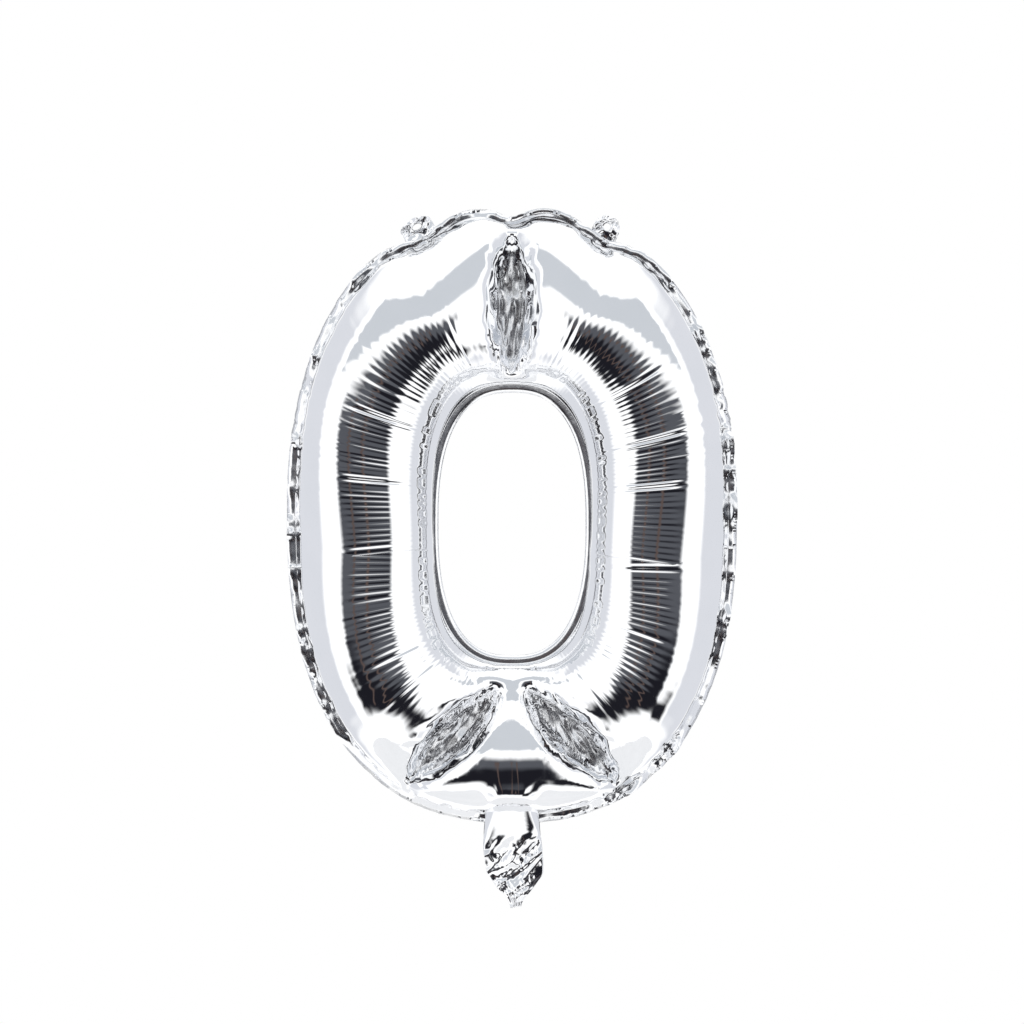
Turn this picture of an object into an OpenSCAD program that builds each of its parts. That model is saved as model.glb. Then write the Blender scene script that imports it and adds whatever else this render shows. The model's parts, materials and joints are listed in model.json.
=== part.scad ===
// Foil number balloon in the shape of a zero: two films welded along their edges and
// at three inner patches, with a self-sealing film valve in the tail and two hanging tabs.
// +Z is up, +Y is away from the reader, and the origin is the centre of the whole balloon.

/* [Body] */
// Width of the inflated balloon over its seam
body_w = 250; // [230:1:270]
// Height of the inflated balloon over its seam, without the tail
body_h = 345; // [325:1:365]
// Thickness of the tube from front to back, as a share of its width
fullness = 0.96; // [0.8:0.01:1]
// How square the shoulders are, where 2 is an ellipse
shoulder_power = 2.25; // [2.1:0.05:2.6]
// How square the bottom corners are
base_power = 2.4; // [2.1:0.05:2.6]
// Depth of the dip between the two lobes at the top
dip_depth = 7; // [0:0.5:10]
// Depth of the dip at each hanging tab
tab_dip = 8; // [0:0.5:9]

/* [Hole] */
// Width of the hole inside its seam
hole_w = 83; // [70:1:95]
// Height of the hole inside its seam
hole_h = 148; // [130:1:160]
// How far the hole sits below the middle of the body
hole_drop = 5.5; // [0:0.5:10]
// How square the hole's ends are
hole_power = 2.5; // [2.1:0.05:3]

/* [Film and seams] */
// Thickness of each foil sheet
film_t = 0.25; // [0.2:0.05:0.4]
// Thickness of the melted lining between the sheets
seal_t = 0.4; // [0.3:0.05:0.6]
// Width of the welded seam
seam_w = 5; // [4:0.5:6]

/* [Weld patches] */
// Length of the patch between the two top lobes
top_weld_l = 72; // [60:1:80]
// Width of the patch between the two top lobes
top_weld_w = 29; // [16:1:32]
// Length of each patch beside the foot
foot_weld_l = 68; // [50:1:72]
// Width of each patch beside the foot
foot_weld_w = 21; // [12:1:24]

/* [Tail and valve] */
// Width of the tail
tail_w = 32; // [28:1:36]
// Length of the tail below the seam
tail_l = 49; // [45:1:60]
// Width of the valve films
valve_w = 22; // [18:1:24]
// Length of the valve flaps inside the foot
flap_l = 45; // [30:1:50]
// Thickness of each valve film
valve_t = 0.15; // [0.1:0.05:0.15]

/* [Hanging tabs] */
// Width of each tab
tab_w = 15; // [12:1:18]
// Height of each tab
tab_h = 15; // [13:1:18]
// Radius of the punched hole
tab_hole_r = 2; // [1.5:0.25:2.5]
// Distance of each tab from the middle
tab_x = 50; // [40:1:60]

/* [Hidden] */
$fn = 64;

stations = 96;               // grid lines round the ring
arches = 12;                 // grid steps across the tube
gap = seal_t / 2;            // each foil sheet's inner face stands this far from the middle plane
dip_w = 13;                  // spread of the dip at the top
tab_dip_w = 17;              // spread of the dip at a hanging tab
deepest = 39;                // half the greatest depth of a lobe
lobe_r = 33;                 // distance over which a lobe rises beside a weld patch
crease_r = 4;                // radius of the crease along a weld patch
hinge_gap = 1.1;             // distance of a fold line from the edge that it folds past
film_clear = 0.05;           // half the space between the two valve films
flap_clear = 0.4;            // the neck seal and the valve flaps stop this far from the weld line
inlet_clear = 0.5;           // space round the inlet films
inlet_past = 4;              // how far the inlet films run below the tail's shoulders
tail_taper_l = 19;           // length over which the tail narrows to its tip
tail_tip_w = 7;              // width of that tip
tail_draft = 1;              // how much narrower the tail is at its shoulders, on each side
tab_hole_up = 1;             // how far a tab's hole lies above the tab's middle
tab_slope_step = 3;          // angle over which the outline's slope is taken at a tab
cut_past = 1;                // how far a cut runs past what it cuts
foot_top_x = 2;              // a foot patch's line starts this far beside the middle
foot_top_drop = 9;           // and this far below the hole's seam
foot_end_gap = 4;            // a foot patch ends this far inside the outer seam
top_weld_up = 1;             // how far the top patch lies above the middle of its lobe
foot_angle = 154;            // where a foot patch's line meets the outer seam, from the top
foot_inner_angle = 177.3;    // where the same line meets the hole's seam
side_angle = 100;            // down to here the grid lines run straight across the tube
half_lines = [[0, 0], [0.2, 14], [0.6, 125], [0.7, 146], [0.88, 162], [1, 180]]; // share of the lines, angle

body_a = body_w / 2;
body_b = body_h / 2;
hole_a = hole_w / 2;
hole_b = hole_h / 2;

// Powers that keep their sign, for superellipses
function keep_sign(v, power) = sign(v) * pow(abs(v), 2 / power);

// A point at an angle from the top on the outer outline, grown by an offset
function outer_flat(angle, grow) =
    let (power = cos(angle) >= 0 ? shoulder_power : base_power)
    [(body_a + grow) * keep_sign(sin(angle), power), (body_b + grow) * keep_sign(cos(angle), power)];
function bell(x, spread) = exp(-pow(x / spread, 2));
function dip(x, angle) =
    cos(angle) > 0 ? dip_depth * bell(x, dip_w) + tab_dip * bell(abs(x) - tab_x, tab_dip_w) : 0;
function outer_raw(angle, grow) =
    let (p = outer_flat(angle, grow)) [p[0], p[1] - dip(p[0], angle)];

// The whole balloon is lifted so that its middle is at the origin
lobe_top = max([for (i = [0:stations]) outer_raw(90 * i / stations, 0)[1]]);
lift = (body_b + tail_l - lobe_top) / 2;

function outer_point(angle, grow = 0) = outer_raw(angle, grow) + [0, lift];
function hole_point(angle, grow = 0) = [
    (hole_a + grow) * keep_sign(sin(angle), hole_power),
    (hole_b + grow) * keep_sign(cos(angle), hole_power) + lift - hole_drop
];
function half_inner_angle(angle) =
    lookup(angle, [[0, 0], [side_angle, side_angle + 4], [foot_angle, foot_inner_angle], [180, 180]]);
function inner_angle(angle) =
    angle <= 180 ? half_inner_angle(angle) : 360 - half_inner_angle(360 - angle);

seam_bottom = lift - body_b;
weld_bottom = seam_bottom + seam_w;

// Grid lines stand closer together near the weld patches
function half_line_angle(share) = lookup(share, half_lines);
function line_angle(i) =
    let (share = 2 * (i % stations) / stations)
    share <= 1 ? half_line_angle(share) : 360 - half_line_angle(2 - share);

// Weld patches: middle, half length, half width, and the angle of their length from +Z
foot_top = [foot_top_x, lift - hole_drop - hole_b - seam_w - foot_top_drop];
foot_out = outer_point(foot_angle, -seam_w - foot_end_gap);
foot_dir = (foot_out - foot_top) / norm(foot_out - foot_top);
foot_mid = foot_out - foot_dir * foot_weld_l / 2;
foot_turn = atan2(foot_dir[0], foot_dir[1]);
top_mid = [0, (hole_point(0, seam_w)[1] + outer_point(0, -seam_w)[1]) / 2 + top_weld_up];
PATCHES = [
    [top_mid, top_weld_l / 2, top_weld_w / 2, 0],
    [foot_mid, foot_weld_l / 2, foot_weld_w / 2, foot_turn],
    [[-foot_mid[0], foot_mid[1]], foot_weld_l / 2, foot_weld_w / 2, -foot_turn]
];

// How far a point lies outside a patch, measured square to its length
function patch_distance(p, patch) =
    let (
        d = p - patch[0],
        turn = patch[3],
        along = d[0] * sin(turn) + d[1] * cos(turn),
        across = d[0] * cos(turn) - d[1] * sin(turn),
        share = min(1, abs(along) / patch[1]),
        past = max(0, abs(along) - patch[1]),
        half_w = patch[2] * (1 - share * share)
    )
    norm([past, max(0, abs(across) - half_w)]);
function rise(p, patch) =
    let (d = patch_distance(p, patch), eased = d * d / (d + crease_r))
    sin(90 * min(1, eased / lobe_r));
function pinch(p) = rise(p, PATCHES[0]) * rise(p, PATCHES[1]) * rise(p, PATCHES[2]);

// One grid line of a film's inner face, as points [x, y, z], and the same line of its outer face
function film_line(angle, grow) =
    let (
        out = outer_point(angle, -seam_w),
        hole = hole_point(inner_angle(angle), seam_w),
        middle = (out + hole) / 2,
        reach = (out - hole) / 2,
        away = reach / norm(reach),
        y0 = -gap - grow
    )
    concat(
        [[outer_point(angle)[0], y0, outer_point(angle)[1]]],
        [for (j = [0:arches])
            let (
                turn = 180 * j / arches,
                flat = middle + reach * cos(turn),
                p = flat + away * grow * cos(turn),
                h = min(norm(reach) * fullness, deepest) * sin(turn) * pinch(flat)
            )
            [p[0], y0 - h, p[1]]],
        [[hole_point(inner_angle(angle))[0], y0, hole_point(inner_angle(angle))[1]]]
    );

rows = arches + 3;
function at(skin, i, j) = skin * stations * rows + (i % stations) * rows + j;
function quad(a, b, c, d) = [[a, b, c], [a, c, d]];
function flat_list(lists) = [for (l = lists) for (x = l) x];

module film() {
    points = flat_list([
        for (skin = [0, 1]) for (i = [0:stations - 1]) film_line(line_angle(i), skin * film_t)
    ]);
    outer_skin = flat_list([for (i = [0:stations - 1]) for (j = [0:rows - 2])
        quad(at(1, i, j), at(1, i, j + 1), at(1, i + 1, j + 1), at(1, i + 1, j))]);
    inner_skin = flat_list([for (i = [0:stations - 1]) for (j = [0:rows - 2])
        quad(at(0, i, j), at(0, i + 1, j), at(0, i + 1, j + 1), at(0, i, j + 1))]);
    outer_edge = flat_list([for (i = [0:stations - 1])
        quad(at(0, i, 0), at(1, i, 0), at(1, i + 1, 0), at(0, i + 1, 0))]);
    hole_edge = flat_list([for (i = [0:stations - 1])
        quad(at(0, i, rows - 1), at(0, i + 1, rows - 1), at(1, i + 1, rows - 1), at(1, i, rows - 1))]);
    polyhedron(points, concat(outer_skin, inner_skin, outer_edge, hole_edge), convexity = 10);
}

// A flat sheet of an outline drawn in X and Z, from y_low to y_high
module sheet(y_low, y_high) {
    translate([0, y_high, 0]) rotate([90, 0, 0]) linear_extrude(y_high - y_low) children();
}

module front_film() {
    color("silver") film();
}

module back_film() {
    color("silver") mirror([0, 1, 0]) film();
}

module outer_seam() {
    color("gainsboro") sheet(-gap, gap) difference() {
        polygon([for (i = [0:stations - 1]) outer_point(line_angle(i))]);
        polygon([for (i = [0:stations - 1]) outer_point(line_angle(i), -seam_w)]);
        translate([-valve_w / 2, seam_bottom - cut_past]) square([valve_w, seam_w + 4 * cut_past]);
    }
}

module hole_seam() {
    color("gainsboro") sheet(-gap, gap) difference() {
        polygon([for (i = [0:stations - 1]) hole_point(inner_angle(line_angle(i)), seam_w)]);
        polygon([for (i = [0:stations - 1]) hole_point(inner_angle(line_angle(i)))]);
    }
}

// A lens-shaped patch where the two sheets are welded together inside the body
module weld_patch(patch) {
    steps = 16;
    half = [for (i = [-steps:steps]) i / steps];
    color("gainsboro") sheet(-gap, gap) translate(patch[0]) rotate(-patch[3]) polygon(concat(
        [for (s = half) [patch[2] * (1 - s * s), patch[1] * s]],
        [for (i = [1:len(half) - 2]) let (s = -half[i]) [-patch[2] * (1 - s * s), patch[1] * s]]
    ));
}

module top_weld() {
    weld_patch(PATCHES[0]);
}

module right_foot_weld() {
    weld_patch(PATCHES[1]);
}

module left_foot_weld() {
    weld_patch(PATCHES[2]);
}

// A pair of valve films, one each side of the middle plane
module valve_plies(z_low, z_high) {
    for (side = [-1, 1])
        translate([-valve_w / 2, side > 0 ? film_clear : -film_clear - valve_t, z_low])
            cube([valve_w, valve_t, z_high - z_low]);
}

// Where the seam crosses the valve, printed ink keeps the two valve films apart
module neck_seal() {
    color("whitesmoke") valve_plies(seam_bottom, weld_bottom - flap_clear);
}

module valve_flap(side) {
    color("whitesmoke")
        translate([-valve_w / 2, side > 0 ? film_clear : -film_clear - valve_t, weld_bottom + flap_clear])
            cube([valve_w, valve_t, flap_l]);
}

module valve_front_flap() {
    valve_flap(-1);
}

module valve_back_flap() {
    valve_flap(1);
}

tail_top = seam_bottom - 2 * hinge_gap;
tail_bottom = seam_bottom - tail_l;
tail_shoulder = tail_bottom + tail_taper_l;
tail_shoulder_w = tail_w - 2 * tail_draft;

// The tail narrows to a blunt tip where its end is folded
module tail_outline() {
    polygon([
        [-tail_w / 2, tail_top], [tail_w / 2, tail_top], [tail_shoulder_w / 2, tail_shoulder],
        [tail_tip_w / 2, tail_bottom], [-tail_tip_w / 2, tail_bottom], [-tail_shoulder_w / 2, tail_shoulder]
    ]);
}

module tail_front_ply() {
    color("silver") sheet(-gap - film_t, -gap) tail_outline();
}

module tail_back_ply() {
    color("silver") sheet(gap, gap + film_t) tail_outline();
}

module tail_side_seam(side) {
    color("gainsboro") sheet(-gap, gap) intersection() {
        tail_outline();
        translate([side > 0 ? valve_w / 2 + inlet_clear : -tail_w / 2, tail_bottom])
            square([(tail_w - valve_w) / 2 - inlet_clear, tail_l]);
    }
}

module tail_left_seam() {
    tail_side_seam(-1);
}

module tail_right_seam() {
    tail_side_seam(1);
}

module valve_inlet_films() {
    color("whitesmoke") valve_plies(tail_shoulder - inlet_past, tail_top - inlet_clear);
}

// A hanging tab stands on the seam, square to the outline, with a punched hole near its end
tab_angle = asin(pow(tab_x / body_a, shoulder_power / 2));
tab_foot = outer_point(tab_angle);
tab_ahead = outer_point(tab_angle + tab_slope_step);
tab_behind = outer_point(tab_angle - tab_slope_step);
tab_tilt = -atan2(tab_ahead[1] - tab_behind[1], tab_ahead[0] - tab_behind[0]);

module hang_tab(side) {
    color("silver") translate([side * tab_foot[0], 0, tab_foot[1]]) rotate([0, side * tab_tilt, 0])
        difference() {
            sheet(-gap - film_t, gap + film_t) {
                translate([-tab_w / 2, 2 * hinge_gap]) square([tab_w, tab_h / 2 - 2 * hinge_gap]);
                translate([0, tab_h / 2]) intersection() {
                    circle(tab_w / 2);
                    translate([-tab_w / 2, -cut_past]) square([tab_w, tab_h / 2 + cut_past]);
                }
            }
            translate([0, 0, tab_h / 2 + tab_hole_up]) rotate([90, 0, 0])
                cylinder(r = tab_hole_r, h = 2 * (gap + film_t + cut_past), center = true);
        }
}

module left_hang_tab() {
    hang_tab(-1);
}

module right_hang_tab() {
    hang_tab(1);
}

front_film();
back_film();
outer_seam();
hole_seam();
top_weld();
left_foot_weld();
right_foot_weld();
neck_seal();
left_hang_tab();
right_hang_tab();
tail_front_ply();
tail_back_ply();
tail_left_seam();
tail_right_seam();
valve_inlet_films();
valve_front_flap();
valve_back_flap();
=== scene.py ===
"""Looks of a silver foil number balloon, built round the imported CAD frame.

Both foil sheets are cut flat, welded together along their edges, and blown up on a grid of
points that run round the ring: foil hardly stretches, so it buckles and pulls its outline in.
The blown-up sheets are then smoothed where the foil is taut and pressed together at the three
inner weld patches, and the fine pleats and the crumples are laid on that shape.
"""
import json
import math

import bpy
import numpy as np
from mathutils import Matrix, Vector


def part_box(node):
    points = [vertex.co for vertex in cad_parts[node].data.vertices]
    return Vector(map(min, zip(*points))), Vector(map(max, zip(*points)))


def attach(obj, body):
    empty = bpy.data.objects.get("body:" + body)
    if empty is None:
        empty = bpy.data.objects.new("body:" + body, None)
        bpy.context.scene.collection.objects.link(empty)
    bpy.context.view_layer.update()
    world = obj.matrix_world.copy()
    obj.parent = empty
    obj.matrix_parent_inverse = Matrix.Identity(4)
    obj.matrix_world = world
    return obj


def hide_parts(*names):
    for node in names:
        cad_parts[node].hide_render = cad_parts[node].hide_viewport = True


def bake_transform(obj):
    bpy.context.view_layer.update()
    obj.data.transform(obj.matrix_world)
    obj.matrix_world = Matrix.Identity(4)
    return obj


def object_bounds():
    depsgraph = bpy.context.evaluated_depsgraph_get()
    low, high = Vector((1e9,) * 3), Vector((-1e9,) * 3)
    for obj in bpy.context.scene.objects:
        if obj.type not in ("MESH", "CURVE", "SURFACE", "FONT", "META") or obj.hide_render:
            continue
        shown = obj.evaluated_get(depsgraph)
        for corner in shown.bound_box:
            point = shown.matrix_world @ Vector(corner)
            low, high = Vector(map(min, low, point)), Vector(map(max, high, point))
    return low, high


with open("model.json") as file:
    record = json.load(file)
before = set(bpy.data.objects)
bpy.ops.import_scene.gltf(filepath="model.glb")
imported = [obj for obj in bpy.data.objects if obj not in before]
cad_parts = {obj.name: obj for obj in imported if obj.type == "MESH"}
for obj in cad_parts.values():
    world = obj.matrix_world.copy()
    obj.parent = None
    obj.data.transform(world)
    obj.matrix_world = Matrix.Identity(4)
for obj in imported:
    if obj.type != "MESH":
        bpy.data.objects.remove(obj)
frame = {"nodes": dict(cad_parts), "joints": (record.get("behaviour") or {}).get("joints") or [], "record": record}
cad_low, cad_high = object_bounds()

MM = 0.001
FRONT, BACK = 0, 1

# ---------------------------------------------------------------- sizes, in millimetres

seam_low, seam_high = (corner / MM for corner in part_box("outer_seam"))
hole_low, hole_high = (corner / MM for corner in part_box("hole_seam"))
tail_low, tail_high = (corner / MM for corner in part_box("tail_front_ply"))

BODY_H = 345.0                               # inflated height without the dips between the lobes
SEAM_W = 5.0                                 # width of every edge weld
BODY_Z = seam_low.z + BODY_H / 2             # the body's middle, above the row's origin
HOLE_Z = (hole_low.z + hole_high.z) / 2 - BODY_Z
HOLE_A = hole_high.x                         # the hole's weld line, half width and half height
HOLE_B = (hole_high.z - hole_low.z) / 2
HOLE_POWER = 2.5
OUT_PULL = 2.0                               # the foil pulls its weld line in by about this much
OUT_A = seam_high.x - SEAM_W + OUT_PULL      # the inflated outer weld line
OUT_B = BODY_H / 2 - SEAM_W + OUT_PULL
OUT_POWERS = (2.25, 2.4)                     # above and below the middle
DIPS = ((0, 13, 7), (50, 17, 8))             # dips in the top outline: place, spread and depth

FLAT_A, FLAT_B, FLAT_POWER = 161.5, 198.0, 2.25    # the same weld line on the flat sheets
FOIL = 0.06                                  # thickness of a foil sheet
LINING = 0.03                                # half the melted lining between two sheets


def patch_of(node, half_w, turn):
    """A weld patch of the inflated balloon: middle, half length, half width, degrees from +Z."""
    low, high = (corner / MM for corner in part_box(node))
    middle = ((low.x + high.x) / 2, (low.z + high.z) / 2 - BODY_Z)
    return middle, (high.z - low.z) / 2 / abs(math.cos(math.radians(turn))), half_w, turn


PATCHES = {
    "top_weld": patch_of("top_weld", 6.0, 0),
    "right_foot_weld": patch_of("right_foot_weld", 6.0, 135),
    "left_foot_weld": patch_of("left_foot_weld", 6.0, -135),
}


# ---------------------------------------------------------------- the flat sheets

def ramp_up(value, low, high):
    """0 at low and below, 1 at high and above, and smooth between them."""
    share = np.clip((value - low) / (high - low), 0, 1)
    return share * share * (3 - 2 * share)


def keep_sign(value, power):
    return np.sign(value) * np.abs(value) ** (2 / power)


def oval(half_w, half_h, power, angle, middle_z=0.0):
    """Points of a superellipse at angles from the top, as x and z."""
    x = half_w * keep_sign(np.sin(angle), power)
    z = half_h * keep_sign(np.cos(angle), power) + middle_z
    return np.stack([x, z], -1)


def arc_share(points):
    """How far along a closed outline each of its points lies, from 0 to 1."""
    steps = np.linalg.norm(np.diff(points, axis=0), axis=1)
    length = np.concatenate([[0], np.cumsum(steps)])
    return length / length[-1]


def flat_grid(lines, seam_cells, film_cells):
    """The flat sheet: grid lines round the ring, each from the outer edge to the hole's edge."""
    fine = np.linspace(0, 2 * np.pi, 4001)
    outer = arc_share(oval(FLAT_A, FLAT_B, FLAT_POWER, fine))
    inner = arc_share(oval(HOLE_A, HOLE_B, HOLE_POWER, fine))
    angle = np.interp(np.arange(lines) / lines, (outer + inner) / 2, fine)
    edge = oval(FLAT_A + SEAM_W, FLAT_B + SEAM_W, FLAT_POWER, angle)
    weld = oval(FLAT_A, FLAT_B, FLAT_POWER, angle)
    hole_weld = oval(HOLE_A, HOLE_B, HOLE_POWER, angle, HOLE_Z)
    hole_edge = oval(HOLE_A - SEAM_W, HOLE_B - SEAM_W, HOLE_POWER, angle, HOLE_Z)
    seam = np.arange(seam_cells) / seam_cells
    film = np.arange(film_cells + 1) / film_cells
    film = film - 0.25 * np.sin(2 * np.pi * film) / (2 * np.pi)    # finer beside the welds
    rows = [edge + (weld - edge) * s for s in seam]
    rows += [weld + (hole_weld - weld) * f for f in film]
    rows += [hole_weld + (hole_edge - hole_weld) * (s + 1 / seam_cells) for s in seam]
    return np.stack(rows, 1)


# ---------------------------------------------------------------- blowing it up

def shift(a, b, rods):
    """How far each pair of points moves for the rod between them to be its rest length again.
    A rod has a rest length, a strength, and crush: the share of the strength that it keeps when
    it is too short, so that 0 is a string."""
    rest, strength, crush = rods
    gap = b - a
    length = np.sqrt(np.einsum("...i,...i->...", gap, gap))
    part = 1 - rest / np.maximum(length, 1e-6)
    part = 0.5 * strength * np.where(part < 0, part * crush, part)
    return gap * part[..., None]


def hold_round(p, rods):
    """Holds neighbours round the ring, even pairs first and then odd ones."""
    move = shift(p[:, 0::2], p[:, 1::2], rods[:, 0::2])
    p[:, 0::2] += move
    p[:, 1::2] -= move
    move = shift(p[:, 1::2], np.roll(p[:, 0::2], -1, 1), rods[:, 1::2])
    p[:, 1::2] += move
    p[:, 0::2] -= np.roll(move, 1, 1)


def hold_across(p, rods):
    """Holds neighbours across the tube."""
    for first in (0, 1):
        a, b = p[:, :, first:-1:2], p[:, :, first + 1::2]
        move = shift(a, b, rods[:, :, first::2])
        a += move
        b -= move


def hold_diagonal(p, rods, near, far):
    """Holds opposite corners of each grid cell, so that the foil doesn't shear."""
    a, b = p[:, 0::2, near], p[:, 1::2, far]
    move = shift(a, b, rods[:, 0::2])
    a += move
    b -= move
    a = p[:, 1::2, near]
    move = shift(a, np.roll(p[:, 0::2, far], -1, 1), rods[:, 1::2])
    a += move
    p[:, 0::2, far] -= np.roll(move, 1, 1)


def bend_round(p, rods):
    """Holds points two steps apart round the ring, which makes the foil stiff in bending."""
    lines, rows = p.shape[1:3]
    four = p.reshape(2, lines // 4, 4, rows, 3)
    rods = rods.reshape(3, lines // 4, 4, rows)
    move = shift(four[:, :, 0:2], four[:, :, 2:4], rods[:, :, 0:2])
    four[:, :, 0:2] += move
    four[:, :, 2:4] -= move
    move = shift(four[:, :, 2:4], np.roll(four[:, :, 0:2], -1, 1), rods[:, :, 2:4])
    four[:, :, 2:4] += move
    four[:, :, 0:2] -= np.roll(move, 1, 1)


def bend_across(p, rods):
    for first in range(4):
        a, b = p[:, :, first:-2:4], p[:, :, first + 2::4]
        move = shift(a, b, rods[:, :, first::4])
        a += move
        b -= move


def make_rods(flat, bend, crush):
    """Every rod of a grid, by family; bend and crush are given at each grid point."""
    after, second = np.roll(flat, -1, 0), np.roll(flat, -2, 0)

    def rods(a, b, strength):
        rest = np.linalg.norm(a - b, axis=-1)
        part = tuple(slice(0, size) for size in rest.shape)
        strength = np.broadcast_to(strength, flat.shape[:2])[part]
        return np.stack([rest, strength, crush[part]]).astype(np.float32)

    return {
        "round": rods(flat, after, 1.0),
        "across": rods(flat[:, :-1], flat[:, 1:], 1.0),
        "falling": rods(flat[:, :-1], after[:, 1:], 0.6),
        "rising": rods(flat[:, 1:], after[:, :-1], 0.6),
        "bend_round": rods(flat, second, bend),
        "bend_across": rods(flat[:, :-2], flat[:, 2:], bend),
    }


def area_normals(p):
    """Normals of a ring grid, as long as the area round each point, towards +Y on a flat sheet."""
    along = np.roll(p, -1, -3) - np.roll(p, 1, -3)
    across = np.gradient(p, axis=-2) * 2
    return np.cross(along, across)


def pull_to_oval(p, half_w, half_h, powers, dips, share):
    """Moves weld points a share of the way to their inflated outline."""
    x, z = p[..., 0], p[..., 2].copy()
    for place, spread, depth in dips:
        z += np.where(z > 0, depth * np.exp(-((np.abs(x) - place) / spread) ** 2), 0)
    power = np.where(z > 0, *powers)
    u, w = np.maximum(np.abs(x) / half_w, 1e-4), np.maximum(np.abs(z) / half_h, 1e-4)
    slope_x = power * u ** (power - 1) / half_w * np.sign(x)
    slope_z = power * w ** (power - 1) / half_h * np.sign(z)
    slope = np.sqrt(slope_x ** 2 + slope_z ** 2)
    step = share * np.clip((1 - u ** power - w ** power) / slope, -10, 10) / slope
    p[..., 0] += step * slope_x
    p[..., 2] += step * slope_z


def settle(p, flat, seam_cells, steps, push, keep, bend, crush, lie_flat, outline, hole):
    """Steps the two sheets p (side, line, row, xyz) towards rest under pressure."""
    film = (np.arange(flat.shape[1]) - seam_cells) / (flat.shape[1] - 1 - 2 * seam_cells)
    welded = (film <= 0) | (film >= 1)
    crush = crush * np.clip((0.2 - film) / 0.1, 0, 1) * (film > 0) * np.ones(flat.shape[:2])
    rods = make_rods(flat, np.where(welded, WELD_BEND, bend), crush)
    sheet = np.stack([flat[..., 0], 0 * flat[..., 0], flat[..., 1]], -1)
    area = np.linalg.norm(area_normals(sheet), axis=-1)
    outward = np.array([-1, 1])[:, None, None] * np.where(welded, 0, push) / area
    outward = outward[..., None].astype(np.float32)
    low, high = slice(None, -1), slice(1, None)
    speed = np.zeros_like(p)
    for _ in range(steps):
        before = p
        p = p + speed * keep + area_normals(p) * outward
        hold_round(p, rods["round"])
        hold_across(p, rods["across"])
        hold_diagonal(p, rods["falling"], low, high)
        hold_diagonal(p, rods["rising"], high, low)
        bend_round(p, rods["bend_round"])
        bend_across(p, rods["bend_across"])
        middle = (p[FRONT] + p[BACK]) / 2
        middle[..., 1] *= lie_flat
        p = np.where(welded[:, None], middle, p)
        pull_to_oval(p[:, :, seam_cells], OUT_A, OUT_B, OUT_POWERS, DIPS, outline)
        hole_weld = p[:, :, -1 - seam_cells]
        hole_weld[..., 2] -= HOLE_Z
        pull_to_oval(hole_weld, HOLE_A, HOLE_B, (HOLE_POWER, HOLE_POWER), (), hole)
        hole_weld[..., 2] += HOLE_Z
        crossed = np.maximum(p[FRONT, ..., 1] - p[BACK, ..., 1], 0) / 2
        p[FRONT, ..., 1] -= crossed
        p[BACK, ..., 1] += crossed
        speed = p - before
    return p


def row_places(seam_cells, film_cells):
    """Where the rows of a grid lie: 0 to 1 over the outer seam, 1 to 2 film, 2 to 3 hole seam."""
    seam = np.arange(seam_cells) / seam_cells
    film = 1 + np.arange(film_cells + 1) / film_cells
    return np.concatenate([seam, film, 2 + seam + 1 / seam_cells])


def regrid(p, old_places, places):
    """The same sheets with twice as many lines, and with their rows at new places."""
    after, before, second = np.roll(p, -1, 1), np.roll(p, 1, 1), np.roll(p, -2, 1)
    fine = np.stack([p, (9 * (p + after) - (before + second)) / 16], 2)
    fine = fine.reshape(2, -1, *p.shape[2:])
    at = np.interp(places, old_places, np.arange(len(old_places)))
    low = np.minimum(at.astype(int), len(old_places) - 2)
    share = (at - low)[:, None]
    return (fine[:, :, low] * (1 - share) + fine[:, :, low + 1] * share).astype(np.float32)


# One line per grid, coarse to fine: lines round the ring, cells across a seam and across the
# film; then the settings of settle(), and the height of the bumps that start the buckles
WELD_BEND = 0.25
STAGES = (
    (68, 1, 8, (3000, 0.018, 0.95, 0.05, 0, 0, 0.2, 0.5), 0.3),
    (136, 1, 14, (1500, 0.0045, 0.95, 0.05, 0, 0, 0.2, 0.5), 0.2),
    (272, 2, 28, (900, 0.0011, 0.94, 0.05, 0.3, 0.8, 0.1, 0.3), 0.1),
    (544, 4, 56, (500, 0.0003, 0.92, 0.03, 0.6, 0.95, 0.02, 0.1), 0.03),
)


def blow_up():
    """Returns the two inflated sheets on the finest grid of the stages, and its row places."""
    random = np.random.default_rng(7)
    lines, seam_cells, film_cells, _, _ = STAGES[0]
    flat = flat_grid(lines, seam_cells, film_cells)
    places = row_places(seam_cells, film_cells)
    start = np.where((places <= 1) | (places >= 2), 0.0, 2.0) * np.ones(flat.shape[:2])
    p = np.stack([np.stack([flat[..., 0], side * start, flat[..., 1]], -1) for side in (-1, 1)])
    p = p.astype(np.float32)
    stages = STAGES
    for lines, seam_cells, film_cells, settings, bump_h in stages:
        flat = flat_grid(lines, seam_cells, film_cells)
        new_places = row_places(seam_cells, film_cells)
        if lines > p.shape[1]:
            p = regrid(p, places, new_places)
        places = new_places
        p[..., 1] += random.normal(0, bump_h, p.shape[1:3])
        p = settle(p, flat, seam_cells, *settings)
    return p, places


# ---------------------------------------------------------------- weld patches

WALL_R, WALL_SHARE = 12.0, 0.6   # beside a patch the film rises by this share over a steep wall
LOBE_R = 44.0                    # and by the rest of its height over this distance


def patch_place(points, patch):
    """Where points lie along and across a lens-shaped weld patch: it runs from -1 to 1."""
    middle, half_l, half_w, turn = patch
    turn = math.radians(turn)
    x, z = points[..., 0] - middle[0], points[..., 2] - middle[1]
    along = (x * math.sin(turn) + z * math.cos(turn)) / half_l
    across = (x * math.cos(turn) - z * math.sin(turn)) / half_w
    return along, across / np.maximum(1 - along * along, 0.02)


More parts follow.
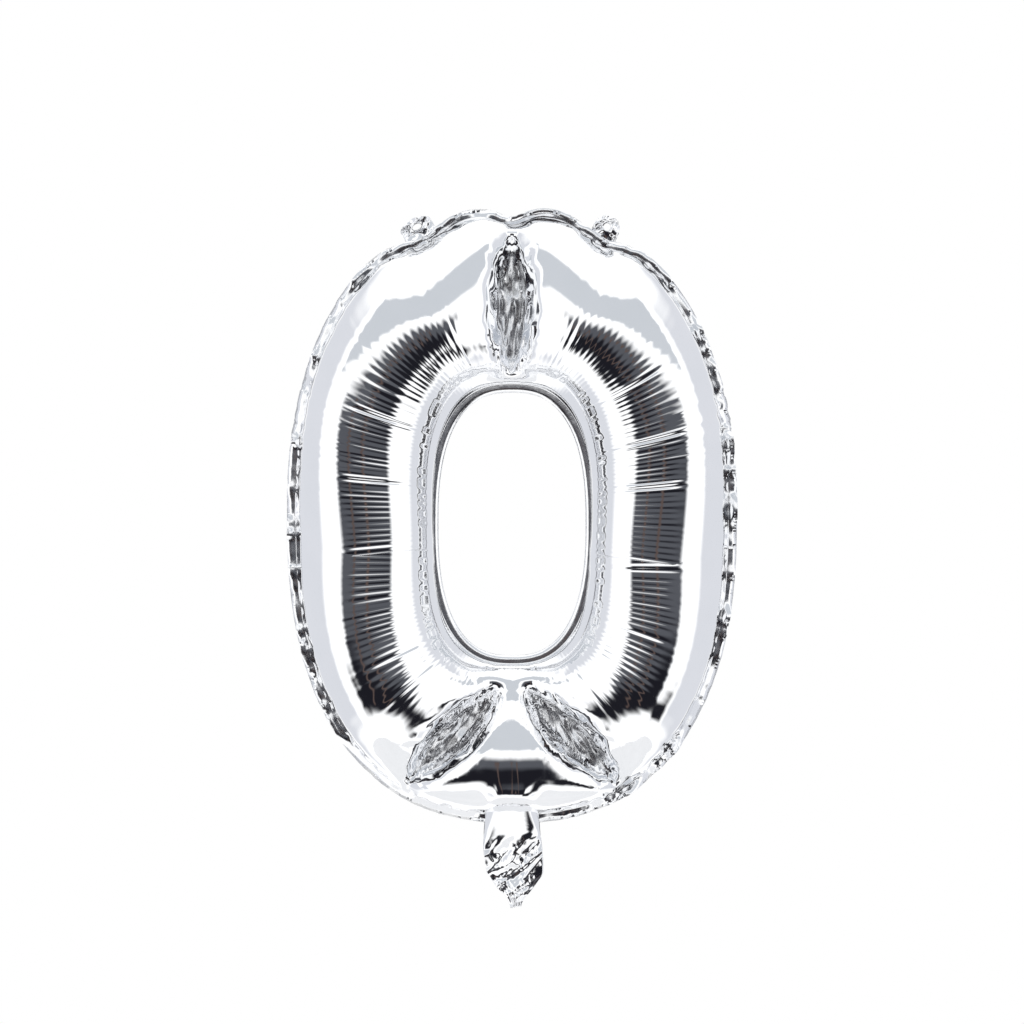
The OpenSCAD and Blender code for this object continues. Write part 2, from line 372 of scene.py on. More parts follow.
def patch_gap(points, patch):
    """How far points lie outside a weld patch, in mm."""
    along, across = patch_place(points, patch)
    width = patch[2] * np.maximum(1 - along * along, 0.02)
    sideways = np.maximum((np.abs(across) - 1) * width, 0)
    return np.hypot(sideways, np.maximum((np.abs(along) - 1) * patch[1], 0))


def in_patch(points, patch):
    """Which points lie in a weld patch, without its narrow tips."""
    along, across = patch_place(points, patch)
    return (np.abs(along) < 0.93) & (np.abs(across) < 1)


CALM_STEPS = (1, 2, 4, 8, 16, 32, 64)    # distances, in grid lines, of the smoothing's passes


def calm(bulge, share):
    """Smooths the film's bulge round the ring by a share for every row, as taut foil is smooth."""
    smooth = bulge
    for step in CALM_STEPS:
        smooth = (np.roll(smooth, -step, 1) + 2 * smooth + np.roll(smooth, step, 1)) / 4
    return bulge + (smooth - bulge) * share[:, None]


CREST_OUT = 0.075                # how much further out the tube's crest lies at the sides
CREST_DOWN = 0.07                # and how much lower at the top, as shares
THROAT_Z = -160.0                # where the neck leaves the body it swells the film:
THROAT_W, THROAT_L, THROAT_H = 13.0, 8.0, 5.5    # half width, half length and height
THROAT_PLEATS, THROAT_PLEAT_H = 2.4, 0.12    # pitch and half height of its pleats


def throat(x, z):
    """How far the film stands out over the neck."""
    bump = np.exp(-(x / THROAT_W) ** 4 - ((z - THROAT_Z) / THROAT_L) ** 2)
    return bump * (THROAT_H + THROAT_PLEAT_H * np.sin(2 * np.pi * x / THROAT_PLEATS))


def pinch(p):
    """Brings the two sheets together at the weld patches."""
    for patch in PATCHES.values():
        gap = patch_gap(p, patch)
        wall = np.sqrt(1 - np.maximum(1 - gap / WALL_R, 0) ** 2)
        lobe = np.sin(0.5 * np.pi * np.minimum(gap / LOBE_R, 1))
        p[..., 1] *= WALL_SHARE * wall + (1 - WALL_SHARE) * lobe


# ---------------------------------------------------------------- pleats and crumples

def round_noise(random, lines, knots):
    """Random values round the ring, from -1 to 1, with straight runs between the knots."""
    values = random.uniform(-1, 1, knots)
    at = np.arange(lines) * knots / lines
    return np.interp(at, np.arange(knots + 1), np.append(values, values[0]))


def facets(random, u, v):
    """Random heights, from -1 to 1, on the corners of a triangle grid, joined by flat facets."""
    table = random.uniform(-1, 1, (64, 64))
    i, j = np.floor(u).astype(int), np.floor(v).astype(int)
    u, v = u - i, v - j
    upper = v > u
    corner = table[i % 64, j % 64]
    side = np.where(upper, table[i % 64, (j + 1) % 64], table[(i + 1) % 64, j % 64])
    far = table[(i + 1) % 64, (j + 1) % 64]
    large, small = np.maximum(u, v), np.minimum(u, v)
    return corner * (1 - large) + side * (large - small) + far * small


def crumpled(random, u, v):
    """Crumpled foil over a plane: facets of uneven size, with smaller ones on them."""
    u, v = u + 0.7 * facets(random, u / 2, v / 2), v + 0.7 * facets(random, u / 2, v / 2)
    return facets(random, u, v) + 0.35 * facets(random, 2.3 * u, 2.3 * v)


LINES, SEAM_CELLS, FILM_CELLS = 1088, 3, 50  # the final grid

# Places across the film run from 0 at the outer weld to 1 at the hole's weld
TAUT = (0.08, 0.85)              # the film is taut and smooth between these places
FINE_PLEATS = 214                # count of the fine pleats all round the hole
FINE_H = 0.055                   # half their height
PLEAT_START, PLEAT_RISE = 0.44, 0.05         # where they start, and how soon they reach full height
PLEAT_FADE, PLEAT_REST = (0.6, 0.85), 0.4    # where they fade, and the share that is left
KINKS, KINK_HALF, KINK_H = 19, 4.5, 0.22     # bundles of deep pleats; half width in grid lines
KINK_PITCH, KINK_LEAN = 0.72, 6  # their count against the fine ones, and how far they lean
CREASE_AT, CREASE_H = 0.78, 0.8  # the dashed crease beside the hole's weld
EDGE_KINKS, EDGE_KINK_HALF, EDGE_KINK_H = 34, 4.0, 1.2    # creases that run in from the outer weld
EDGE_REACH = (0.08, 0.3)         # the shortest and the longest of them

PATCH_FACET = (8.0, 2.4)         # facets in the weld patches: length and width
PATCH_H = 2.4                    # and their height
PATCH_EDGE = (3, 8)              # they die out between these distances outside a patch
PATCH_PLEATS, PATCH_PLEAT_H = 3.4, 0.4       # pleats beside a weld patch: pitch and half height
PATCH_PLEAT_IN, PATCH_PLEAT_OUT = (3, 6), (9, 15)    # distances where they start and end
PATCH_CALM, PATCH_REACH = 0.3, (12, 50)      # the hole's pleats keep this share beside a patch

FLANGE_WAVE = 3.6                # how far the free edge of the outer weld waves out of its plane
BOTTOM_TILT = 4.0                # how far the free edge leans back along the bottom
BOTTOM = (100, 150)              # the flange's bottom lies this far below the body's middle
ROUGH = (15, 45)                 # and is heavily crumpled this far to the right
NECK_CLEAR = (14, 24)            # the flange lies flat over the neck


def kink_lines(random, lines, count):
    """Uneven places round the ring, and each grid line's distance from each of them."""
    kinks = (np.arange(count) + random.uniform(-0.3, 0.3, count)) * lines / count
    return (np.arange(lines)[:, None] - kinks + lines / 2) % lines - lines / 2


def hole_pleats(random, lines, film):
    """Heights of the pleats round the hole: fine ones all round, a bundle of deep ones at every
    kink of the tube, and a dashed crease beside the hole's weld."""
    turn = 2 * np.pi * np.arange(lines) / lines
    wander = 1.5 * round_noise(random, lines, 60)
    fine = np.sin(FINE_PLEATS * turn + wander)
    fine *= FINE_H * (1 + 0.35 * round_noise(random, lines, 150))
    near = kink_lines(random, lines, KINKS)
    kink = (np.exp(-(near / KINK_HALF) ** 2) * random.uniform(0.2, 1.3, KINKS)).sum(1)[:, None]
    reach = PLEAT_START + 0.02 * round_noise(random, lines, 90)[:, None]
    rise = ramp_up(film, reach - 0.02 * kink, reach + PLEAT_RISE)
    lean = random.uniform(-KINK_LEAN, KINK_LEAN, KINKS)[np.abs(near).argmin(1)][:, None] * film
    deep = np.sin(KINK_PITCH * FINE_PLEATS * turn[:, None] + lean) * kink * KINK_H
    fall = 1 - (1 - PLEAT_REST) * ramp_up(film, *PLEAT_FADE)
    height = (fine[:, None] * fall + deep * fall ** 2) * rise
    dash = np.clip(0.4 + 2 * round_noise(random, lines, 260), 0, 1)
    height[:, np.argmin(np.abs(film - CREASE_AT))] -= CREASE_H * dash
    return height * (film < 1)


def edge_kinks(random, lines, film):
    """Depths of the creases that run in from the outer weld."""
    near = kink_lines(random, lines, EDGE_KINKS)
    reach = random.uniform(*EDGE_REACH, EDGE_KINKS)
    depth = np.exp(-np.abs(near) / EDGE_KINK_HALF) * random.uniform(0.2, 1, EDGE_KINKS)
    return EDGE_KINK_H * (depth[:, None] * (1 - ramp_up(film[:, None], 0, reach))).sum(-1)


def patch_crumples(random, points, patch):
    """Crumples in a weld patch, and how far the film beside it is pleated."""
    along, across = patch_place(points, patch)
    width = np.maximum(1 - along * along, 0.1) * patch[2]
    crumple = crumpled(random, along * patch[1] / PATCH_FACET[0], across * width / PATCH_FACET[1])
    gap = patch_gap(points, patch)
    crumple *= (1 - ramp_up(gap, *PATCH_EDGE)) * (1 - ramp_up(np.abs(along), 0.9, 1.1))
    pleat = np.sin(2 * np.pi * along * patch[1] / PATCH_PLEATS + np.sign(across))
    pleat *= ramp_up(gap, *PATCH_PLEAT_IN) * (1 - ramp_up(gap, *PATCH_PLEAT_OUT))
    pleat *= 1 - ramp_up(np.abs(along), 0.9, 1)
    return PATCH_H * crumple, PATCH_PLEAT_H * pleat


def straighten_flanges(p, places):
    """Lays the free edges flat, outside the outer weld and inside the hole's weld."""
    for weld, rows, sign in ((SEAM_CELLS, range(SEAM_CELLS), 1),
                             (-1 - SEAM_CELLS, range(-SEAM_CELLS, 0), -1)):
        line = p[:, :, weld] * (1, 0, 1)
        along = np.roll(line, -3, 1) - np.roll(line, 3, 1)
        along /= np.linalg.norm(along, axis=-1, keepdims=True)
        out = along[..., ::-1] * (-1, 0, 1) * sign
        for row in rows:
            p[:, :, row] = line + out * SEAM_W * abs(places[row] - places[weld]) ** 2


def tighten(p, film):
    """The sheets with their taut part smooth, and with the tube's crest in its place."""
    weld, hole_weld = p[:, :, [SEAM_CELLS]], p[:, :, [-1 - SEAM_CELLS]]
    chord = weld + (hole_weld - weld) * np.clip(film, 0, 1)[:, None]
    p = chord + calm(p - chord, ramp_up(film, 0, TAUT[0]) * (1 - ramp_up(film, TAUT[1], 1)))
    crest = np.sin(np.pi * np.clip(film, 0, 1)) ** 2
    p[..., 0] *= 1 + CREST_OUT * crest
    p[..., 2] -= CREST_DOWN * np.maximum(p[..., 2], 0) * crest
    return p


def flange_wave(random, x, z):
    """How far the free edge outside the outer weld waves out of its plane, except at the neck."""
    wave = round_noise(random, LINES, 68) + 0.4 * round_noise(random, LINES, 250)
    bottom = ramp_up(-z, *BOTTOM)
    rough = bottom * ramp_up(x, *ROUGH)
    wave *= FLANGE_WAVE * (1 + 1.2 * rough)
    wave += rough * FLANGE_WAVE * round_noise(random, LINES, 360)
    wave += BOTTOM_TILT * (bottom - rough)
    return wave * np.where(z > 0, 1, ramp_up(np.abs(x), *NECK_CLEAR))


def dress(p, places):
    """Brings the sheets to the final grid, and adds what is too fine for the stages. Also returns
    which points are film (0), edge weld (1) and weld patch (2)."""
    random = np.random.default_rng(11)
    new_places = row_places(SEAM_CELLS, FILM_CELLS)
    while p.shape[1] < LINES:
        p = regrid(p, places, new_places)
        places = new_places
    film = places - 1
    p = tighten(p, film)
    straighten_flanges(p, places)
    pinch(p)
    middle = (p[FRONT] + p[BACK]) / 2
    gap = np.min([patch_gap(middle, patch) for patch in PATCHES.values()], axis=0)
    welds = np.where(gap == 0, 2, 1 * ((film <= 0) | (film >= 1)))
    normal = area_normals(p)
    normal /= np.linalg.norm(normal, axis=-1, keepdims=True)
    crumples = [patch_crumples(random, middle, patch) for patch in PATCHES.values()]
    for side, outward in ((FRONT, -1), (BACK, 1)):
        height = hole_pleats(random, LINES, film)
        height *= PATCH_CALM + (1 - PATCH_CALM) * ramp_up(gap, *PATCH_REACH)
        height -= edge_kinks(random, LINES, film)
        height += sum(pleat for _, pleat in crumples)
        height[welds > 0] = 0
        p[side] += normal[side] * (height * outward)[..., None]
        swell = throat(p[side, ..., 0], p[side, ..., 2]) * ramp_up(film, 0, 0.05)
        p[side, ..., 1] += outward * swell
    p[..., 1] += sum(crumple for crumple, _ in crumples)
    wave = flange_wave(random, middle[:, 0, 0], middle[:, 0, 2])
    p[..., 1] += wave[:, None] * np.clip(1 - places, 0, 1) ** 2
    return p, welds


# ---------------------------------------------------------------- materials

def nodes_of(material):
    material.use_nodes = True
    tree = material.node_tree
    return tree, tree.nodes["Principled BSDF"]


def noise(tree, scale, detail=3.0, distortion=0.0):
    place = tree.nodes.new("ShaderNodeTexCoord")
    node = tree.nodes.new("ShaderNodeTexNoise")
    node.inputs["Scale"].default_value = scale
    node.inputs["Detail"].default_value = detail
    node.inputs["Distortion"].default_value = distortion
    tree.links.new(place.outputs["Object"], node.inputs["Vector"])
    return node.outputs["Fac"]


def ramp(tree, value, low, high, spread=(0.3, 0.7)):
    """A value turned into a colour, from low to high, between the spread's two values."""
    node = tree.nodes.new("ShaderNodeValToRGB")
    node.color_ramp.elements[0].position, node.color_ramp.elements[1].position = spread
    node.color_ramp.elements[0].color = (*low, 1)
    node.color_ramp.elements[1].color = (*high, 1)
    tree.links.new(value, node.inputs["Fac"])
    return node.outputs["Color"]


def span(tree, value, low, high):
    node = tree.nodes.new("ShaderNodeMapRange")
    node.inputs["From Min"].default_value = 0.3
    node.inputs["From Max"].default_value = 0.7
    node.inputs["To Min"].default_value = low
    node.inputs["To Max"].default_value = high
    tree.links.new(value, node.inputs["Value"])
    return node.outputs["Result"]


def bump(tree, shader, height, strength, distance):
    node = tree.nodes.new("ShaderNodeBump")
    node.inputs["Strength"].default_value = strength
    node.inputs["Distance"].default_value = distance
    tree.links.new(height, node.inputs["Height"])
    tree.links.new(node.outputs["Normal"], shader.inputs["Normal"])


def foil_material(name, roughness, bump_strength, bump_scale):
    """Metallised film: a slightly cool mirror with faint handling haze and fine crinkles."""
    material = bpy.data.materials.new(name)
    tree, shader = nodes_of(material)
    shader.inputs["Metallic"].default_value = 1.0
    haze = ramp(tree, noise(tree, 45, 4), (0.89, 0.9, 0.915), (0.92, 0.925, 0.94))
    tree.links.new(haze, shader.inputs["Base Color"])
    tree.links.new(span(tree, noise(tree, 120, 2), *roughness), shader.inputs["Roughness"])
    bump(tree, shader, noise(tree, bump_scale, 5, 0.4), bump_strength, 0.0002)
    return material


def lining_material():
    """Clear polyethylene, milky where it has melted."""
    material = bpy.data.materials.new("melted_lining")
    tree, shader = nodes_of(material)
    milky = ramp(tree, noise(tree, 600), (0.72, 0.73, 0.74), (0.86, 0.87, 0.88))
    tree.links.new(milky, shader.inputs["Base Color"])
    tree.links.new(span(tree, noise(tree, 300), 0.2, 0.35), shader.inputs["Roughness"])
    return material


def valve_material():
    """Thin milky polyethylene film with flow lines along its length."""
    material = bpy.data.materials.new("valve_film")
    tree, shader = nodes_of(material)
    tint = ramp(tree, noise(tree, 220), (0.8, 0.8, 0.77), (0.92, 0.92, 0.9))
    tree.links.new(tint, shader.inputs["Base Color"])
    tree.links.new(span(tree, noise(tree, 500), 0.18, 0.3), shader.inputs["Roughness"])
    bump(tree, shader, noise(tree, 900), 0.1, 0.0002)
    return material


# ---------------------------------------------------------------- meshes

def grid_cells(index, ring, halve):
    """Faces of a point grid. With halve, rows before that one use every second line only, and a
    row of five-sided faces joins them to the rest."""
    def quads(grid):
        after = np.roll(grid, -1, 0)
        cells = np.stack([grid[:, :-1], after[:, :-1], after[:, 1:], grid[:, 1:]], -1)
        return (cells if ring else cells[:-1]).reshape(-1, 4)

    if not halve:
        return [quads(index)]
    even, odd = index[0::2], index[1::2]
    after = np.roll(even, -1, 0)
    row = halve - 1
    joint = [even[:, row], after[:, row], after[:, row + 1], odd[:, row + 1], even[:, row + 1]]
    return [quads(index[:, halve:]), quads(even[:, :halve]), np.stack(joint, -1)]


def solid_sheet(name, grid, low, high, keep=None, ring=True, halve=0, materials=(), welds=None):
    """A thin solid on a grid of points in mm, from low to high along the grid's normals. keep says
    which points it uses, and welds which of the materials each point takes."""
    if ring:
        along = np.roll(grid, -1, 0) - np.roll(grid, 1, 0)
    else:
        along = np.gradient(grid, axis=0)
    normal = np.cross(along, np.gradient(grid, axis=1))
    normal /= np.maximum(np.linalg.norm(normal, axis=-1, keepdims=True), 1e-9)
    count = normal[..., 0].size
    index = np.arange(count).reshape(grid.shape[:2])
    keep = np.ones(count, bool) if keep is None else keep.ravel()
    welds = np.zeros(count, int) if welds is None else welds.ravel()
    groups = [cells[keep[cells].all(1)] for cells in grid_cells(index, ring, halve)]
    edges = [np.stack([cells, np.roll(cells, -1, 1)], -1).reshape(-1, 2) for cells in groups]
    edges = np.concatenate(edges)
    rim = edges[~np.isin(edges[:, 0] * count + edges[:, 1], edges[:, 1] * count + edges[:, 0])]
    groups = [cells + count for cells in groups] + [cells[:, ::-1] for cells in groups]
    groups.append(np.stack([rim[:, 0], rim[:, 1], rim[:, 1] + count, rim[:, 0] + count], -1))
    slots = np.concatenate([welds[cells % count].min(1) for cells in groups])
    points = np.concatenate([(grid + normal * side).reshape(-1, 3) for side in (low, high)])
    used = np.unique(np.concatenate([cells.ravel() for cells in groups]))
    points = points[used]
    points[:, 2] += BODY_Z
    faces = [face for cells in groups for face in np.searchsorted(used, cells).tolist()]
    mesh = bpy.data.meshes.new(name)
    mesh.from_pydata((points * MM).tolist(), [], faces)
    for material in materials:
        mesh.materials.append(material)
    mesh.polygons.foreach_set("material_index", slots.astype(np.int32))
    mesh.polygons.foreach_set("use_smooth", np.ones(len(faces), bool))
    mesh.update()
    piece = bpy.data.objects.new(name, mesh)
    bpy.context.scene.collection.objects.link(piece)
    return piece


def stand_for(piece, body, slot, *nodes):
    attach(piece, body)
    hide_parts(*nodes)


# ---------------------------------------------------------------- the balloon

foil = foil_material("foil_taut", (0.03, 0.07), 0.02, 260)
foil_weld = foil_material("foil_welded", (0.1, 0.22), 0.25, 500)
foil_patch = foil_material("foil_patch", (0.2, 0.34), 0.3, 700)
foil_crumpled = foil_material("foil_crumpled", (0.05, 0.12), 0.1, 400)
lining = lining_material()
valve_film = valve_material()

sheets, places = blow_up()
sheets, welds = dress(sheets, places)
middle = (sheets[FRONT] + sheets[BACK]) / 2
HALVE = SEAM_CELLS + int(0.42 * FILM_CELLS)      # outside this row half the lines are enough
NECK_HALF = 11                   # half width of the neck where it crosses the outer seam

front = solid_sheet("front_skin", sheets[FRONT], -LINING - FOIL, -LINING, halve=HALVE,
                    materials=(foil, foil_weld, foil_patch), welds=welds)
stand_for(front, "balloon", "foil", "front_film")
back = solid_sheet("back_skin", sheets[BACK], LINING, LINING + FOIL, halve=HALVE,
                   materials=(foil, foil_weld, foil_patch), welds=welds)
stand_for(back, "balloon", "foil", "back_film")

outer = (np.arange(welds.shape[1]) <= SEAM_CELLS) & np.ones(welds.shape, bool)
inner = (np.arange(welds.shape[1]) >= SEAM_CELLS + FILM_CELLS) & np.ones(welds.shape, bool)
neck = outer & (np.abs(middle[:, :1, 0]) < NECK_HALF) & (middle[:, :1, 2] < 0)
inside = LINING * 0.9


def weld_piece(name, keep, halve=0):
    piece = solid_sheet(name + "_lining", middle, -inside, inside, keep, halve=halve,
                        materials=(lining,))
    stand_for(piece, "balloon", "seal", name)


weld_piece("outer_seam", outer & ~neck, HALVE)
weld_piece("hole_seam", inner)
for name, patch in PATCHES.items():
    weld_piece(name, in_patch(middle, patch) & ~outer & ~inner)

neck_films = solid_sheet("neck_valve_films", middle, -inside, inside, neck, halve=HALVE,
                         materials=(valve_film,))
stand_for(neck_films, "balloon", "valve_film", "neck_seal")


# ---------------------------------------------------------------- the tail

TAIL_TOP = -158.0                # the tail starts inside the body, above the seam
TAIL_LINES, TAIL_ROWS = 60, 80
TAIL_TAPER, TAIL_TAPER_AT = 0.82, (0.68, 1.02)    # the share of its width that it loses, and where
TAIL_DRIFT = 2.2                 # how far it drifts to the right
FOLD_L, FOLD_W, FOLD_H = 16, 6, 2.6    # facets of its slanting folds: length, width and height
NECK_DEPTH = 14.0                # half the depth of the blown-up neck at the tail's top
NECK_END = 0.52                  # the blown-up part ends this far down the tail
INLET = 0.25                     # the inlet films lie this far inside each ply
tail_bottom = tail_low.z - BODY_Z
tail_half = tail_high.x


def tail_middle():
    """The tail's middle surface, and the places across (-1 to 1) and down (0 to 1) it."""
    random = np.random.default_rng(5)
    u, v = np.meshgrid(np.linspace(-1, 1, TAIL_LINES), np.linspace(0, 1, TAIL_ROWS), indexing="ij")
    z = TAIL_TOP + (tail_bottom - TAIL_TOP) * v
    half = tail_half * (1 - TAIL_TAPER * ramp_up(v, *TAIL_TAPER_AT)) * (1 - 0.04 * np.sin(9 * v))
    x = u * half + TAIL_DRIFT * ramp_up(v, 0.3, 0.9)
    slant = 0.9 * x + 0.45 * z
    steep = -0.45 * x + 0.9 * z
    folds = crumpled(random, slant / FOLD_L, steep / FOLD_W)
    y = FOLD_H * folds * ramp_up(v, 0.28, 0.55)
    z += 1.5 * facets(random, x / 5, z / 9) * ramp_up(v, 0.5, 0.9)
    return np.stack([x, y, z], -1), u, v


def tail_ply(name, node, side, middle, u, v):
    """One foil ply: it starts as half of a blown-up neck and ends flat and crumpled."""
    random = np.random.default_rng(21 + side)
    open_neck = NECK_DEPTH * np.maximum(1 - v / NECK_END, 0)
    loose = 0.7 * np.abs(facets(random, 6 * u, 16 * v)) * ramp_up(v, 0.3, 0.6)
    ply = middle.copy()
    ply[..., 1] += side * (INLET + (open_neck + loose) * np.sqrt(np.maximum(1 - u * u, 0)))
    piece = solid_sheet(name, ply, *sorted((0, side * FOIL)), ring=False,
                        materials=(foil_crumpled,))
    across_the_fold(piece, "foil", node)


def across_the_fold(piece, slot, *nodes):
    """Bakes a piece of the tail's transform into its mesh and hides the CAD parts that it stands for."""
    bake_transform(piece)
    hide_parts(*nodes)


tail_sheet, tail_u, tail_v = tail_middle()
tail_ply("tail_front", "tail_front_ply", -1, tail_sheet, tail_u, tail_v)
tail_ply("tail_back", "tail_back_ply", 1, tail_sheet, tail_u, tail_v)
below_seam = tail_sheet[..., 2] < seam_low.z - BODY_Z - 1
for name, side in (("tail_left_seam", -1), ("tail_right_seam", 1)):
    edge = below_seam & (tail_u * side > 0.75)
    seam = solid_sheet(name + "_lining", tail_sheet, -inside, inside, edge, ring=False,
                       materials=(lining,))
    across_the_fold(seam, "seal", name)
inlet = below_seam & (np.abs(tail_u) < 0.68) & (tail_v < 0.72)
inlet_films = solid_sheet("valve_inlet", tail_sheet, -inside, inside, inlet, ring=False,
                          materials=(valve_film,))
across_the_fold(inlet_films, "valve_film", "valve_inlet_films")


# ---------------------------------------------------------------- hanging tabs and valve flaps

TAB_HALF = 7.5                   # half width of a tab, and the radius of its end
TAB_HOLE = 2.0
TAB_FOOT = 8.5                   # from the hole's middle down to the seam
TAB_OVERLAP = 2.0                # how far a tab runs on over the seam
TAB_FACET = 4                    # size of its crumples
TAB_LINES, TAB_ROWS = 96, 16


def hang_tab(side, crumple_h, spread, seed):
    """A crumpled tab with its punched hole, standing on the outer seam. spread is how much wider
    and lower the crumpling has left it."""
    random = np.random.default_rng(seed)
    mounts, joints = frame["record"]["mounts"], frame["joints"]
    hole = next(np.array(m["pos_m"]) / MM for m in mounts if m["name"] == side + "_hang_hole")
    axis = next(j["axis"] for j in joints if j["name"] == side + "_tab_fold")
    along = np.array(axis) * np.sign(axis[0])
    out = np.array([-along[2], 0, along[0]])
    turn = np.arange(TAB_LINES) * 2 * np.pi / TAB_LINES
    turn, inward = np.meshgrid(turn, np.linspace(0, 1, TAB_ROWS), indexing="ij")
    end = oval(TAB_HALF, TAB_HALF, 2, turn, TAB_HALF - TAB_FOOT)
    foot = oval(TAB_HALF, TAB_FOOT + TAB_OVERLAP - 1, 5, turn, TAB_HALF - TAB_FOOT)
    edge = np.where(np.cos(turn)[..., None] > 0, end, foot)
    edge *= 1 + 0.06 * round_noise(random, TAB_LINES, 24)[:, None, None]
    rim = oval(TAB_HOLE, TAB_HOLE, 2, turn)
    place = edge + (rim - edge) * inward[..., None]
    height = crumple_h * crumpled(random, *(place[..., i] / TAB_FACET for i in (0, 1)))
    height *= ramp_up(np.linalg.norm(place, axis=-1), TAB_HOLE, 2 * TAB_HOLE)
    grid = hole + place[..., :1] * spread * along + place[..., 1:] / spread * out
    grid[..., 1] += height
    grid[..., 2] -= BODY_Z
    tab = solid_sheet(side + "_tab_foil", grid, -LINING - FOIL, LINING + FOIL,
                      materials=(foil_crumpled,))
    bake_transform(tab)
    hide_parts(side + "_hang_tab")


hang_tab("left", 2.4, 1.3, 31)
hang_tab("right", 1.5, 1.0, 33)

for name in ("valve_front_flap", "valve_back_flap"):
    flap = frame["nodes"][name]
    flap.data.materials.clear()
    flap.data.materials.append(valve_film)


# ---------------------------------------------------------------- stage, light and camera

FLOOR_R, FLOOR_BELOW = 0.9, 1.2  # the balloon hangs well above a round floor


def floor():
    bpy.ops.mesh.primitive_circle_add(vertices=96, radius=FLOOR_R, fill_type="NGON",
                                      location=(0, 0, cad_low.z - FLOOR_BELOW))
    disc = bpy.context.object
    disc.name = "floor"
    material = bpy.data.materials.new("pale_floor")
    tree, shader = nodes_of(material)
    tree.links.new(ramp(tree, noise(tree, 3), (0.9, 0.9, 0.9), (0.94, 0.94, 0.94)),
                   shader.inputs["Base Color"])
    shader.inputs["Roughness"].default_value = 0.9
    disc.data.materials.append(material)


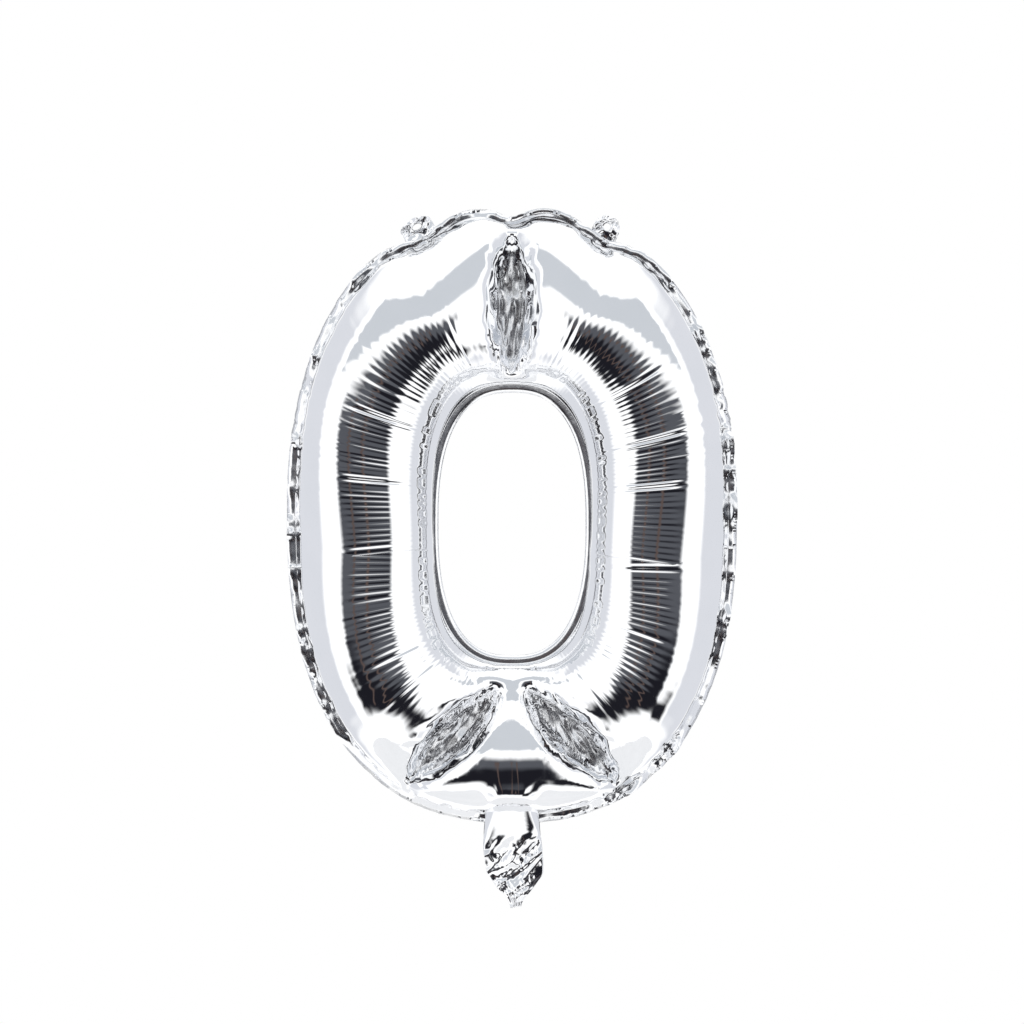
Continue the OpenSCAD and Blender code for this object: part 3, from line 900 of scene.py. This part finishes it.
class Sky:
    """Builds the studio round the balloon: white all over, with panels that the foil mirrors."""

    def __init__(self):
        world = bpy.data.worlds.new("studio")
        bpy.context.scene.world = world
        world.use_nodes = True
        self.tree = world.node_tree
        self.tree.nodes.clear()
        place = self.tree.nodes.new("ShaderNodeTexCoord")
        axes = self.tree.nodes.new("ShaderNodeSeparateXYZ")
        self.tree.links.new(place.outputs["Generated"], axes.inputs[0])
        minus_y = self.math("MULTIPLY", axes.outputs["Y"], -1)
        self.azimuth = self.math("ARCTAN2", axes.outputs["X"], minus_y)
        self.height = self.math("ARCSINE", axes.outputs["Z"])
        self.colour = None

    def math(self, operation, *values):
        node = self.tree.nodes.new("ShaderNodeMath")
        node.operation = operation
        for socket, value in zip(node.inputs, values):
            if isinstance(value, (int, float)):
                socket.default_value = value
            else:
                self.tree.links.new(value, socket)
        return node.outputs[0]

    def within(self, angle, half, soft):
        """1 inside half degrees, falling smoothly to 0 over twice soft degrees."""
        node = self.tree.nodes.new("ShaderNodeMapRange")
        node.interpolation_type = "SMOOTHSTEP"
        node.inputs["From Min"].default_value = math.radians(half + soft)
        node.inputs["From Max"].default_value = math.radians(half - soft)
        self.tree.links.new(angle, node.inputs["Value"])
        return node.outputs["Result"]

    def fill(self, colour):
        node = self.tree.nodes.new("ShaderNodeRGB")
        node.outputs[0].default_value = (*colour, 1)
        self.colour = node.outputs[0]

    def panel(self, azimuth, half_w, height, half_h, colour, soft=4.0, soft_up=None):
        """A panel of one colour; azimuth 0 is behind the camera and 90 is towards +X."""
        turned = self.math("SUBTRACT", self.azimuth, math.radians(azimuth))
        turned = self.math("WRAP", turned, math.pi, -math.pi)
        raised = self.math("SUBTRACT", self.height, math.radians(height))
        part = self.math("MULTIPLY", self.within(self.math("ABSOLUTE", turned), half_w, soft),
                         self.within(self.math("ABSOLUTE", raised), half_h, soft_up or soft))
        mix = self.tree.nodes.new("ShaderNodeMix")
        mix.data_type = "RGBA"
        self.tree.links.new(part, mix.inputs["Factor"])
        self.tree.links.new(self.colour, mix.inputs["A"])
        mix.inputs["B"].default_value = (*colour, 1)
        self.colour = mix.outputs["Result"]

    def finish(self):
        """The camera sees plain white behind the balloon."""
        seen = self.tree.nodes.new("ShaderNodeLightPath")
        mirrored = self.tree.nodes.new("ShaderNodeBackground")
        white = self.tree.nodes.new("ShaderNodeBackground")
        mix = self.tree.nodes.new("ShaderNodeMixShader")
        out = self.tree.nodes.new("ShaderNodeOutputWorld")
        self.tree.links.new(self.colour, mirrored.inputs["Color"])
        white.inputs["Color"].default_value = (1, 1, 1, 1)
        self.tree.links.new(seen.outputs["Is Camera Ray"], mix.inputs["Fac"])
        self.tree.links.new(mirrored.outputs[0], mix.inputs[1])
        self.tree.links.new(white.outputs[0], mix.inputs[2])
        self.tree.links.new(mix.outputs[0], out.inputs["Surface"])


DARK = (0.013, 0.013, 0.018)     # the unlit room behind the camera


def studio():
    sky = Sky()
    sky.fill((1.2, 1.2, 1.2))
    for side in (-1, 1):
        sky.panel(side * 108, 40, 0, 42, (0.77, 0.785, 0.83), 4, 8)
        sky.panel(side * 26, 28, 35, 13, (0.65, 0.68, 0.72), 1.5)
    sky.panel(0, 34, -10.5, 19.5, (0.1, 0.105, 0.12), 3, 5)
    sky.panel(0, 33, -19.5, 12, DARK, 4, 5)
    sky.panel(-35, 9, -25, 9, DARK, 4, 5)
    sky.panel(44, 16, -33, 8, DARK, 5, 4)
    sky.panel(-17, 1.2, -11, 15, (0.12, 0.085, 0.075), 1.5)
    sky.panel(2, 1.4, -11, 15, (0.12, 0.085, 0.075), 1.5)
    sky.panel(180, 26, 0, 20, (0.2, 0.2, 0.22), 6)
    sky.finish()


VIEW_W = 0.5775                  # width of the picture at the balloon
CAMERA_FAR = 1.7                 # distance of the camera from the balloon's middle
CAMERA_UP = 0.001                # and how far above it


def camera():
    data = bpy.data.cameras.new("camera")
    data.sensor_width = 36
    data.lens = data.sensor_width * CAMERA_FAR / VIEW_W
    eye = bpy.data.objects.new("camera", data)
    eye.location = (0, -CAMERA_FAR, BODY_Z * MM + CAMERA_UP)
    eye.rotation_euler = (math.radians(90), 0, 0)
    bpy.context.scene.collection.objects.link(eye)
    bpy.context.scene.camera = eye


floor()
studio()
camera()
bpy.context.scene.view_settings.view_transform = "Standard"
